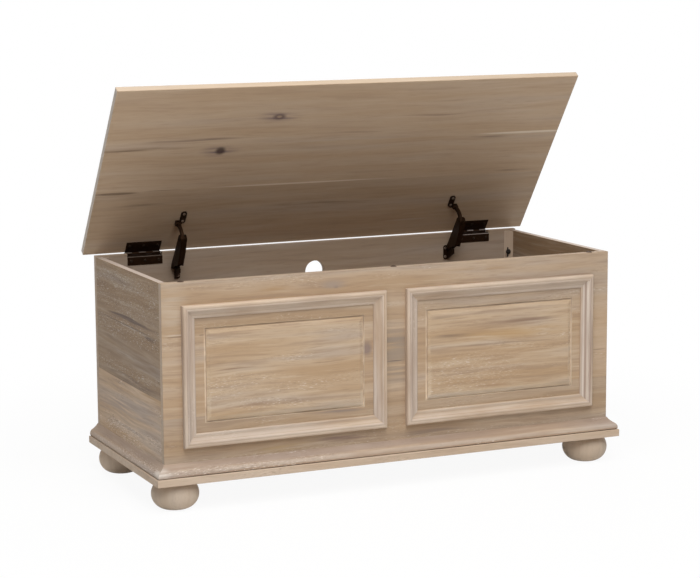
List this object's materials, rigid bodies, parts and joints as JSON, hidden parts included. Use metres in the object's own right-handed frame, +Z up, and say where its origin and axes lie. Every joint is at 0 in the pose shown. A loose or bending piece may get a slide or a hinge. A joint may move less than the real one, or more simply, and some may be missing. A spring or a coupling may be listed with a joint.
{
  "type": "lift-top storage chest",
  "caption": "Low wooden storage chest with a lift-up lid on folding stays, moulded frames on the front, a moulded base and bun feet.",
  "frame": {"origin": "on the floor, under the middle of the box between its front and back faces", "axes": "+X to the viewer's right along the chest, +Y to the back, +Z up; X = 0 is the mirror plane"},
  "size_m": [1.119, 0.4877, 0.8798],
  "materials": {
    "chest_wood": "whitewashed acacia, brushed, matt lacquer",
    "lid_wood": "whitewashed acacia, brushed, matt lacquer",
    "dark_bronze": "oil-rubbed bronze on steel",
    "dark_steel": "black oxide steel",
    "bumper": "dark brown soft polymer"
  },
  "bodies": {
    "chest": {"back_left_corner_post": "chest_wood", "back_left_foot": "chest_wood", "back_panel": "chest_wood", "back_right_corner_post": "chest_wood", "back_right_foot": "chest_wood", "base_board": "chest_wood", "base_moulding_front": "chest_wood", "base_moulding_left": "chest_wood", "base_moulding_right": "chest_wood", "corner_bolts": "dark_steel", "foot_bolts": "dark_steel", "front_left_corner_post": "chest_wood", "front_left_foot": "chest_wood", "front_panel": "chest_wood", "front_right_corner_post": "chest_wood", "front_right_foot": "chest_wood", "hinge_box_screws": "dark_bronze", "left_field_panel": "chest_wood", "left_frame_bottom": "chest_wood", "left_frame_left": "chest_wood", "left_frame_right": "chest_wood", "left_frame_top": "chest_wood", "left_hinge_box_leaf": "dark_bronze", "left_hinge_pin": "dark_steel", "left_side_panel": "chest_wood", "left_stay_base_bracket": "dark_bronze", "lid_bumpers": "bumper", "right_field_panel": "chest_wood", "right_frame_bottom": "chest_wood", "right_frame_left": "chest_wood", "right_frame_right": "chest_wood", "right_frame_top": "chest_wood", "right_hinge_box_leaf": "dark_bronze", "right_hinge_pin": "dark_steel", "right_side_panel": "chest_wood", "right_stay_base_bracket": "dark_bronze", "stay_box_screws": "dark_bronze"},
    "left_stay_arm": {"left_stay_arm": "dark_bronze"},
    "left_stay_body": {"left_stay_base_pin": "dark_bronze", "left_stay_body": "dark_bronze", "left_stay_damper": "dark_steel", "left_stay_elbow_pin": "dark_bronze", "left_stay_washers": "dark_bronze"},
    "lid": {"hinge_lid_screws": "dark_bronze", "left_hinge_lid_leaf": "dark_bronze", "left_stay_lid_foot": "dark_bronze", "left_stay_lid_pin": "dark_bronze", "lid_board": "lid_wood", "right_hinge_lid_leaf": "dark_bronze", "right_stay_lid_foot": "dark_bronze", "right_stay_lid_pin": "dark_bronze", "stay_lid_screws": "dark_bronze"},
    "right_stay_arm": {"right_stay_arm": "dark_bronze"},
    "right_stay_body": {"right_stay_base_pin": "dark_bronze", "right_stay_body": "dark_bronze", "right_stay_damper": "dark_steel", "right_stay_elbow_pin": "dark_bronze", "right_stay_washers": "dark_bronze"}
  },
  "joints": [
    {"name": "lid_hinge", "type": "hinge", "parent": "chest", "child": "lid", "pos_m": [0, 0.2283, 0.4858], "axis": [-1, 0, 0], "range_deg": [-54.45, 25.55]},
    {"name": "left_stay_swing", "type": "hinge", "parent": "chest", "child": "left_stay_body", "pos_m": [-0.3515, 0.199, 0.4555], "axis": [-1, 0, 0], "range_deg": [-54.45, 25.55]},
    {"name": "left_stay_elbow", "type": "hinge", "parent": "left_stay_body", "child": "left_stay_arm", "pos_m": [-0.3515, 0.14459, 0.52355], "axis": [-1, 0, 0], "range_deg": [-25.55, 54.45]},
    {"name": "right_stay_swing", "type": "hinge", "parent": "chest", "child": "right_stay_body", "pos_m": [0.3515, 0.199, 0.4555], "axis": [-1, 0, 0], "range_deg": [-54.45, 25.55]},
    {"name": "right_stay_elbow", "type": "hinge", "parent": "right_stay_body", "child": "right_stay_arm", "pos_m": [0.3515, 0.14459, 0.52355], "axis": [-1, 0, 0], "range_deg": [-25.55, 54.45]}
  ],
  "couplings": [
    {"joint": "left_stay_swing", "follows": "lid_hinge", "ratio": 1},
    {"joint": "left_stay_elbow", "follows": "lid_hinge", "ratio": -1},
    {"joint": "right_stay_swing", "follows": "lid_hinge", "ratio": 1},
    {"joint": "right_stay_elbow", "follows": "lid_hinge", "ratio": -1}
  ]
}
